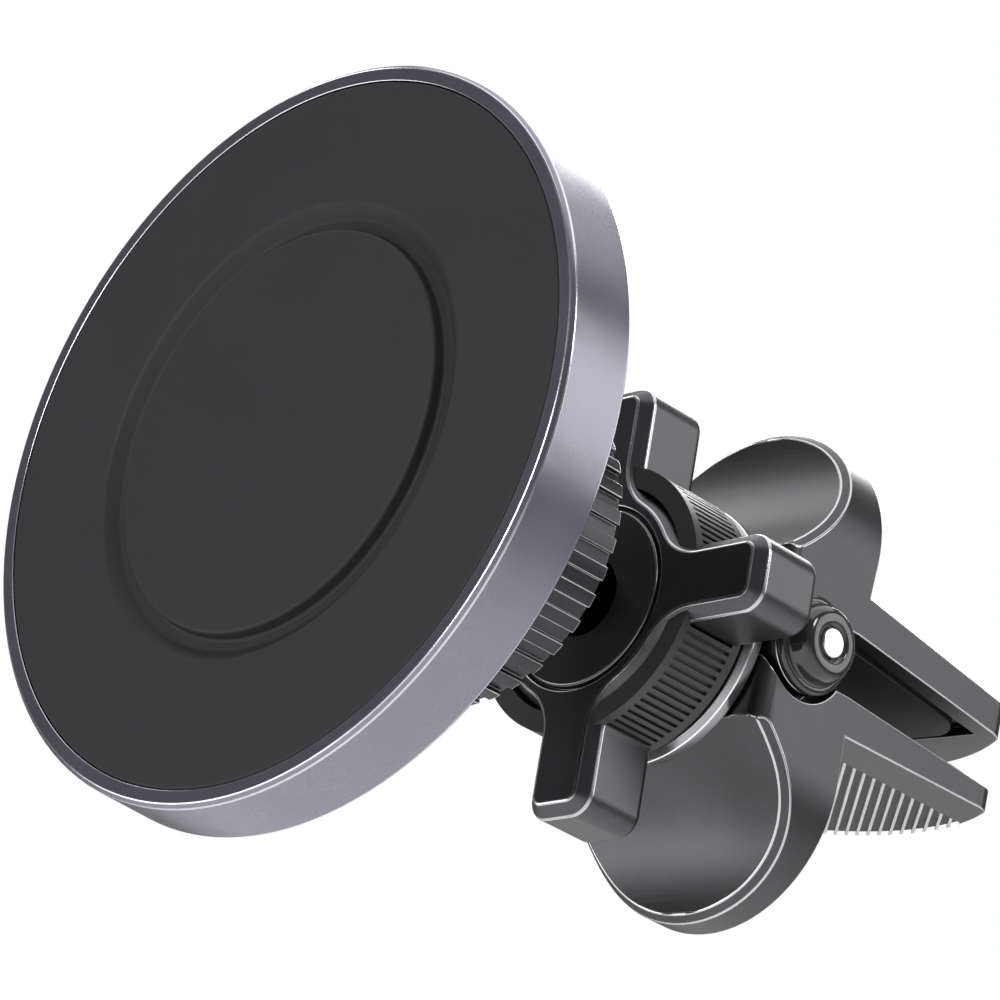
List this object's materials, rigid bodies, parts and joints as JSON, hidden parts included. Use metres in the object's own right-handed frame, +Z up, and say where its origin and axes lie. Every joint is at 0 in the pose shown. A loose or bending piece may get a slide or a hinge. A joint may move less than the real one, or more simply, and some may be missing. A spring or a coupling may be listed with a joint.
{
  "type": "magnetic car vent phone mount",
  "caption": "Round magnetic phone head on a ball joint, with a star hand wheel that closes a hinged two-lever clip on an air vent blade.",
  "frame": {"origin": "centre of the face that carries the phone", "axes": "-Y points out of the phone face, +Y runs back along the stud to the jaws, +Z is up, +X is to the right seen from the phone"},
  "size_m": [0.0604, 0.0758, 0.0604],
  "materials": {
    "pad_plastic": "matt, very fine grain",
    "bezel_alloy": "fine satin",
    "carrier_plastic": "as moulded",
    "magnet_plating": "bright nickel plate",
    "shield_steel": "plain",
    "cover_plastic": "fine moulded grain",
    "screw_steel": "darkened",
    "socket_plastic": "as moulded",
    "liner_plastic": "natural nylon",
    "stud_steel": "dark plate",
    "nut_alloy": "dark satin anodised",
    "wheel_alloy": "dark satin anodised, bright bevels",
    "trim_alloy": "black, satin",
    "grip_rubber": "matt",
    "insert_brass": "turned",
    "ring_alloy": "dark satin, bright edge",
    "core_alloy": "dark satin",
    "pin_steel": "polished ends",
    "cap_plastic": "gloss black",
    "spring_steel": "drawn wire",
    "lever_alloy": "dark satin anodised",
    "lining_rubber": "matt",
    "jaw_grip_alloy": "dark satin, bright rib tops"
  },
  "bodies": {
    "clip": {"clip_yoke": "core_alloy", "ball_stud": "stud_steel", "pivot_pin": "pin_steel", "right_pivot_cap": "cap_plastic", "left_pivot_cap": "cap_plastic", "torsion_spring": "spring_steel"},
    "thrust": {"thrust_ring": "ring_alloy"},
    "wheel": {"star_wheel": "wheel_alloy", "hub_trim": "trim_alloy", "grip_panels": "grip_rubber", "thread_insert": "insert_brass"},
    "upper_arm": {"upper_lever": "lever_alloy", "upper_jaw_lining": "lining_rubber", "upper_jaw_grip": "jaw_grip_alloy"},
    "lower_arm": {"lower_lever": "lever_alloy", "lower_jaw_lining": "lining_rubber", "lower_jaw_grip": "jaw_grip_alloy"},
    "ball_tilt": {"seat_ring": "liner_plastic"},
    "ball_pan": {"friction_washer": "liner_plastic"},
    "head": {"face_pad": "pad_plastic", "bezel_ring": "bezel_alloy", "magnet_carrier": "carrier_plastic", "ring_magnets": "magnet_plating", "shield_plate": "shield_steel", "back_cover": "cover_plastic", "cover_screws": "screw_steel", "ball_socket": "socket_plastic"},
    "nut": {"socket_nut": "nut_alloy"}
  },
  "joints": [
    {"name": "ring_slide", "type": "slide", "parent": "clip", "child": "thrust", "axis": [0, -1, 0], "range_m": [0, 0.00188]},
    {"name": "wheel_turn", "type": "hinge", "parent": "thrust", "child": "wheel", "pos_m": [0, 0.038, 0], "axis": [0, -1, 0], "range_deg": [0, 540]},
    {"name": "upper_open", "type": "hinge", "parent": "clip", "child": "upper_arm", "pos_m": [0, 0.04825, 0], "axis": [1, 0, 0], "range_deg": [0, 10]},
    {"name": "lower_open", "type": "hinge", "parent": "clip", "child": "lower_arm", "pos_m": [0, 0.04825, 0], "axis": [-1, 0, 0], "range_deg": [0, 10]},
    {"name": "head_tilt", "type": "hinge", "parent": "clip", "child": "ball_tilt", "pos_m": [0, 0.0175, 0], "axis": [1, 0, 0], "range_deg": [-24, 24]},
    {"name": "head_pan", "type": "hinge", "parent": "ball_tilt", "child": "ball_pan", "pos_m": [0, 0.0175, 0], "axis": [0, 0, 1], "range_deg": [-24, 24]},
    {"name": "head_spin", "type": "hinge", "parent": "ball_pan", "child": "head", "pos_m": [0, 0.0175, 0], "axis": [0, 1, 0], "continuous": true},
    {"name": "nut_turn", "type": "hinge", "parent": "head", "child": "nut", "pos_m": [0, 0.0175, 0], "axis": [0, 1, 0], "range_deg": [0, 90]}
  ],
  "couplings": [
    {"joint": "ring_slide", "follows": "wheel_turn", "m_per_rad": 0.00019894},
    {"joint": "upper_open", "follows": "wheel_turn", "ratio": 0.018519},
    {"joint": "lower_open", "follows": "wheel_turn", "ratio": 0.018519}
  ]
}
